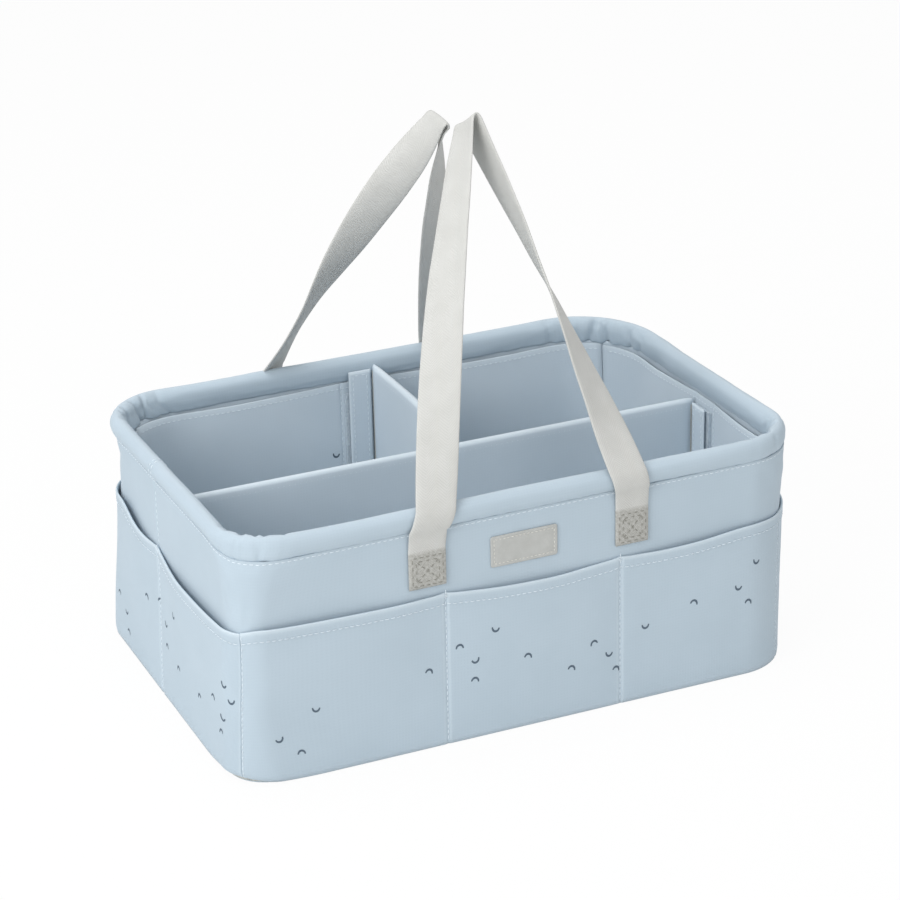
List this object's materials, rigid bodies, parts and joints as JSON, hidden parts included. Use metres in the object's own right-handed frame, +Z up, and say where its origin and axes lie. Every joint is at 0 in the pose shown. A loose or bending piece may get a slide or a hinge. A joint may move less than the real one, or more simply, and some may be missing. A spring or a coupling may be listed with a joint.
{
  "type": "diaper caddy",
  "caption": "Rectangular fabric caddy with a padded rim, sewn pockets, a removable T-shaped divider, a bare label patch and webbing carry handles.",
  "frame": {"origin": "centre of the base, on the surface that the caddy stands on", "axes": "+X along the long side, +Y from the front wall, which has the label patch, to the back wall, +Z up"},
  "size_m": [0.3946, 0.2726, 0.3584],
  "materials": {
    "shell_canvas": "pale blue woven polyester canvas, matt",
    "lining_cloth": "pale blue woven lining cloth, matt",
    "stiffener_board": "plain stiffener board",
    "rim_foam": "soft wadding",
    "webbing": "light warm grey twill webbing",
    "label": "smooth grey imitation leather",
    "hook_and_loop": "hook and loop tape"
  },
  "bodies": {
    "root": {"outer_front_panel": "shell_canvas", "outer_back_panel": "shell_canvas", "outer_left_panel": "shell_canvas", "outer_right_panel": "shell_canvas", "outer_base_panel": "shell_canvas", "front_board": "stiffener_board", "back_board": "stiffener_board", "left_board": "stiffener_board", "right_board": "stiffener_board", "base_board": "stiffener_board", "front_lining": "lining_cloth", "back_lining": "lining_cloth", "left_lining": "lining_cloth", "right_lining": "lining_cloth", "base_lining": "lining_cloth", "front_outer_pockets": "shell_canvas", "back_outer_pockets": "shell_canvas", "left_outer_pockets": "shell_canvas", "right_outer_pockets": "shell_canvas", "front_left_inner_pocket": "lining_cloth", "front_right_inner_pocket": "lining_cloth", "back_right_inner_pocket": "lining_cloth", "back_left_inner_pocket": "lining_cloth", "left_rear_inner_pocket": "lining_cloth", "left_fore_inner_pocket": "lining_cloth", "right_fore_inner_pocket": "lining_cloth", "right_rear_inner_pocket": "lining_cloth", "rim_cover": "shell_canvas", "rim_padding": "rim_foam", "label_patch": "label", "long_divider_left_loop_strip": "hook_and_loop", "long_divider_right_loop_strip": "hook_and_loop", "cross_divider_loop_strip": "hook_and_loop", "front_handle_left_end": "webbing", "front_handle_right_end": "webbing", "back_handle_left_end": "webbing", "back_handle_right_end": "webbing"},
    "front_handle": {"front_handle_strap": "webbing"},
    "back_handle": {"back_handle_strap": "webbing"},
    "divider": {"long_divider_cover": "lining_cloth", "long_divider_board": "stiffener_board", "long_divider_left_flange": "lining_cloth", "long_divider_right_flange": "lining_cloth", "long_divider_left_hook_strip": "hook_and_loop", "long_divider_right_hook_strip": "hook_and_loop"},
    "cross_divider": {"cross_divider_cover": "lining_cloth", "cross_divider_board": "stiffener_board", "cross_divider_flange": "lining_cloth", "cross_divider_hook_strip": "hook_and_loop"}
  },
  "joints": [
    {"name": "front_handle_swing", "type": "hinge", "parent": "root", "child": "front_handle", "pos_m": [0, -0.1316, 0.1315], "axis": [1, 0, 0], "range_deg": [0, 145]},
    {"name": "back_handle_swing", "type": "hinge", "parent": "root", "child": "back_handle", "pos_m": [0, 0.1316, 0.1315], "axis": [-1, 0, 0], "range_deg": [0, 145]},
    {"name": "divider_lift", "type": "slide", "parent": "root", "child": "divider", "axis": [0, 0, 1], "range_m": [0, 0.15]},
    {"name": "cross_divider_fold", "type": "hinge", "parent": "divider", "child": "cross_divider", "pos_m": [-0.001, 0.0033, 0], "axis": [0, 0, 1], "range_deg": [0, 75]}
  ]
}
